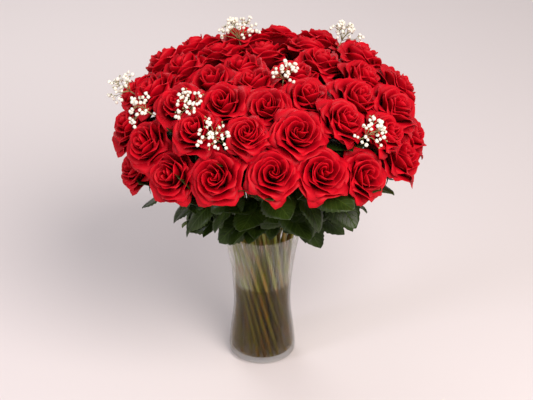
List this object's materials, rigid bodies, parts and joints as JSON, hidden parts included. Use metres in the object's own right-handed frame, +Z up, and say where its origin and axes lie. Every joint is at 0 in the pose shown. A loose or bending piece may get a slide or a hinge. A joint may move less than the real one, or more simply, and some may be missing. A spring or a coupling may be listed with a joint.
{
  "type": "vase of roses",
  "caption": "Domed bouquet of open red roses with sprigs of baby's breath, standing in a waisted clear glass vase of water as a table decoration.",
  "frame": {"origin": "Middle of the underside of the vase's foot, on the surface it stands on.", "axes": "+Z up, -Y to the front, +X to the viewer's right."},
  "size_m": [0.449, 0.4366, 0.5027],
  "materials": {
    "vase_glass": "polished",
    "water": "clear",
    "rose_petal": "velvety",
    "rose_stem": "satin",
    "rose_leaf": "satin",
    "sprig_flower": "matte",
    "sprig_twig": "matte"
  },
  "bodies": {
    "root": {"vase": "vase_glass", "water": "water", "rose_01": "rose_petal", "rose_02": "rose_petal", "rose_03": "rose_petal", "rose_04": "rose_petal", "rose_05": "rose_petal", "rose_06": "rose_petal", "rose_07": "rose_petal", "rose_08": "rose_petal", "rose_09": "rose_petal", "rose_10": "rose_petal", "rose_11": "rose_petal", "rose_12": "rose_petal", "rose_13": "rose_petal", "rose_14": "rose_petal", "rose_15": "rose_petal", "rose_16": "rose_petal", "rose_17": "rose_petal", "rose_18": "rose_petal", "rose_19": "rose_petal", "rose_20": "rose_petal", "rose_21": "rose_petal", "rose_22": "rose_petal", "rose_23": "rose_petal", "rose_24": "rose_petal", "rose_25": "rose_petal", "rose_26": "rose_petal", "rose_27": "rose_petal", "rose_28": "rose_petal", "rose_29": "rose_petal", "rose_30": "rose_petal", "rose_31": "rose_petal", "rose_32": "rose_petal", "rose_33": "rose_petal", "rose_34": "rose_petal", "rose_35": "rose_petal", "rose_36": "rose_petal", "rose_37": "rose_petal", "rose_38": "rose_petal", "rose_39": "rose_petal", "rose_40": "rose_petal", "rose_41": "rose_petal", "rose_42": "rose_petal", "rose_43": "rose_petal", "rose_44": "rose_petal", "rose_45": "rose_petal", "rose_46": "rose_petal", "rose_47": "rose_petal", "rose_48": "rose_petal", "rose_49": "rose_petal", "rose_50": "rose_petal", "babys_breath_01": "sprig_flower", "babys_breath_02": "sprig_flower", "babys_breath_03": "sprig_flower", "babys_breath_04": "sprig_flower", "babys_breath_05": "sprig_flower", "babys_breath_06": "sprig_flower", "babys_breath_07": "sprig_flower", "babys_breath_08": "sprig_flower"}
  },
  "joints": []
}
